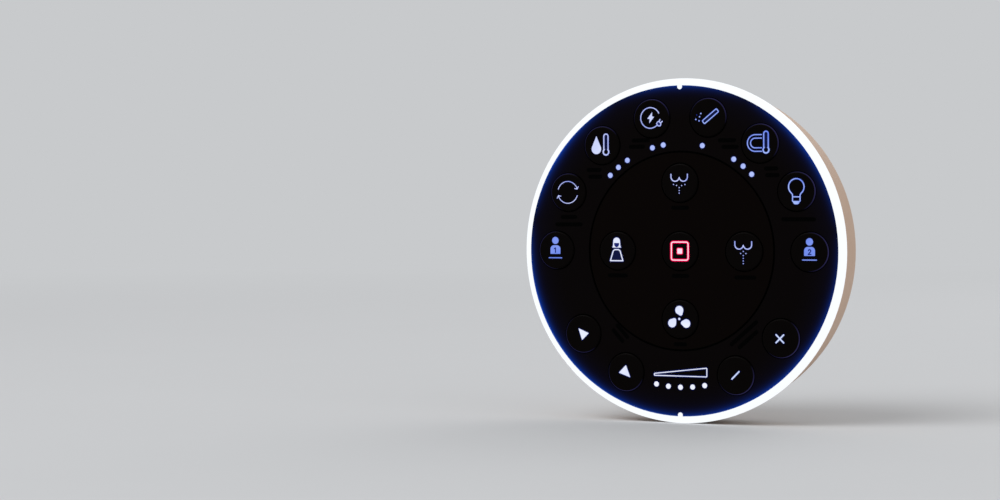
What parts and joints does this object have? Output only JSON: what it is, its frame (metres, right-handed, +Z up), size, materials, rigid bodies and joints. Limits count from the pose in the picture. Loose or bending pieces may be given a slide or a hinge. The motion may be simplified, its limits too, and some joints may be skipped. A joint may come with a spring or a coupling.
{
  "type": "bidet seat remote control",
  "caption": "Round wall remote of a bidet seat: black face with raised round keys in a lit ring, tapered pale housing, battery door and magnetic wall plate.",
  "frame": {"origin": "on the wall, at the middle of the wall plate's back; the face's centre is 22 mm lower and 25.5 mm in front", "axes": "-Y out of the face towards the user, +Y into the wall, +Z up, +X to the right seen from the front"},
  "size_m": [0.1266, 0.0255, 0.1266],
  "materials": {
    "shell_plastic": "fine satin, warm ivory",
    "foam": "soft foam tape",
    "steel": "zinc-plated",
    "seal_rubber": "matt",
    "nickel": "nickel-plated",
    "cell_wrap": "plain printed wrap",
    "lit_ring": "frosted diffuser, lit white",
    "face_black": "smoked, semi-gloss",
    "lit_dot": "clear pin, lit",
    "key_black": "smoked, semi-gloss, lit symbol",
    "inner_black": "matt",
    "silicone": "translucent grey",
    "board": "solder mask",
    "chip": "moulded epoxy",
    "lamp": "lamp body",
    "shield_can": "tinned",
    "coil": "ferrite",
    "capacitor": "drawn can"
  },
  "bodies": {
    "wall_plate": {"wall_plate": "shell_plastic", "wall_plate_foam": "foam", "keeper_disc": "steel"},
    "remote": {"battery_cells": "cell_wrap", "battery_contacts": "nickel", "battery_seal": "seal_rubber", "battery_springs": "nickel", "board_screws": "steel", "boost_coil": "coil", "buzzer": "chip", "capacitors": "capacitor", "centre_panel": "face_black", "crystal": "shield_can", "face_plate": "face_black", "face_seal": "silicone", "front_frame": "inner_black", "holding_magnets": "nickel", "housing_screws": "steel", "indicator_lamps": "lamp", "key_lamps": "lamp", "key_mat": "silicone", "lamp_drivers": "chip", "light_baffle": "inner_black", "light_ring": "lit_ring", "lower_light_pipes": "lit_dot", "main_board": "board", "microcontroller": "chip", "radio_module": "shield_can", "rear_feet": "seal_rubber", "rear_shell": "shell_plastic", "ring_lamps": "lamp", "tact_switches": "chip", "upper_light_pipes": "lit_dot"},
    "battery_door": {"battery_door": "shell_plastic", "battery_door_screws": "steel"},
    "key_dryer": {"key_dryer": "key_black"},
    "key_energy_save": {"key_energy_save": "key_black"},
    "key_front_wash": {"key_front_wash": "key_black"},
    "key_less": {"key_less": "key_black"},
    "key_more": {"key_more": "key_black"},
    "key_night_light": {"key_night_light": "key_black"},
    "key_nozzle_in": {"key_nozzle_in": "key_black"},
    "key_nozzle_out": {"key_nozzle_out": "key_black"},
    "key_nozzle_rinse": {"key_nozzle_rinse": "key_black"},
    "key_oscillate": {"key_oscillate": "key_black"},
    "key_rear_wash": {"key_rear_wash": "key_black"},
    "key_seat_heat": {"key_seat_heat": "key_black"},
    "key_stop": {"key_stop": "key_black"},
    "key_user_one": {"key_user_one": "key_black"},
    "key_user_two": {"key_user_two": "key_black"},
    "key_water_heat": {"key_water_heat": "key_black"},
    "key_wide_wash": {"key_wide_wash": "key_black"}
  },
  "joints": [
    {"name": "remote_lift", "type": "slide", "parent": "wall_plate", "child": "remote", "axis": [0, -1, 0], "range_m": [0, 0.03]},
    {"name": "battery_door_lift", "type": "slide", "parent": "remote", "child": "battery_door", "axis": [0, 1, 0], "range_m": [0, 0.02]},
    {"name": "key_dryer_press", "type": "slide", "parent": "remote", "child": "key_dryer", "axis": [0, 1, 0], "range_m": [0, 0.0006], "stiffness_N_per_m": 3000},
    {"name": "key_energy_save_press", "type": "slide", "parent": "remote", "child": "key_energy_save", "axis": [0, 1, 0], "range_m": [0, 0.0006], "stiffness_N_per_m": 3000},
    {"name": "key_front_wash_press", "type": "slide", "parent": "remote", "child": "key_front_wash", "axis": [0, 1, 0], "range_m": [0, 0.0006], "stiffness_N_per_m": 3000},
    {"name": "key_less_press", "type": "slide", "parent": "remote", "child": "key_less", "axis": [0, 1, 0], "range_m": [0, 0.0006], "stiffness_N_per_m": 3000},
    {"name": "key_more_press", "type": "slide", "parent": "remote", "child": "key_more", "axis": [0, 1, 0], "range_m": [0, 0.0006], "stiffness_N_per_m": 3000},
    {"name": "key_night_light_press", "type": "slide", "parent": "remote", "child": "key_night_light", "axis": [0, 1, 0], "range_m": [0, 0.0006], "stiffness_N_per_m": 3000},
    {"name": "key_nozzle_in_press", "type": "slide", "parent": "remote", "child": "key_nozzle_in", "axis": [0, 1, 0], "range_m": [0, 0.0006], "stiffness_N_per_m": 3000},
    {"name": "key_nozzle_out_press", "type": "slide", "parent": "remote", "child": "key_nozzle_out", "axis": [0, 1, 0], "range_m": [0, 0.0006], "stiffness_N_per_m": 3000},
    {"name": "key_nozzle_rinse_press", "type": "slide", "parent": "remote", "child": "key_nozzle_rinse", "axis": [0, 1, 0], "range_m": [0, 0.0006], "stiffness_N_per_m": 3000},
    {"name": "key_oscillate_press", "type": "slide", "parent": "remote", "child": "key_oscillate", "axis": [0, 1, 0], "range_m": [0, 0.0006], "stiffness_N_per_m": 3000},
    {"name": "key_rear_wash_press", "type": "slide", "parent": "remote", "child": "key_rear_wash", "axis": [0, 1, 0], "range_m": [0, 0.0006], "stiffness_N_per_m": 3000},
    {"name": "key_seat_heat_press", "type": "slide", "parent": "remote", "child": "key_seat_heat", "axis": [0, 1, 0], "range_m": [0, 0.0006], "stiffness_N_per_m": 3000},
    {"name": "key_stop_press", "type": "slide", "parent": "remote", "child": "key_stop", "axis": [0, 1, 0], "range_m": [0, 0.0006], "stiffness_N_per_m": 3000},
    {"name": "key_user_one_press", "type": "slide", "parent": "remote", "child": "key_user_one", "axis": [0, 1, 0], "range_m": [0, 0.0006], "stiffness_N_per_m": 3000},
    {"name": "key_user_two_press", "type": "slide", "parent": "remote", "child": "key_user_two", "axis": [0, 1, 0], "range_m": [0, 0.0006], "stiffness_N_per_m": 3000},
    {"name": "key_water_heat_press", "type": "slide", "parent": "remote", "child": "key_water_heat", "axis": [0, 1, 0], "range_m": [0, 0.0006], "stiffness_N_per_m": 3000},
    {"name": "key_wide_wash_press", "type": "slide", "parent": "remote", "child": "key_wide_wash", "axis": [0, 1, 0], "range_m": [0, 0.0006], "stiffness_N_per_m": 3000}
  ]
}
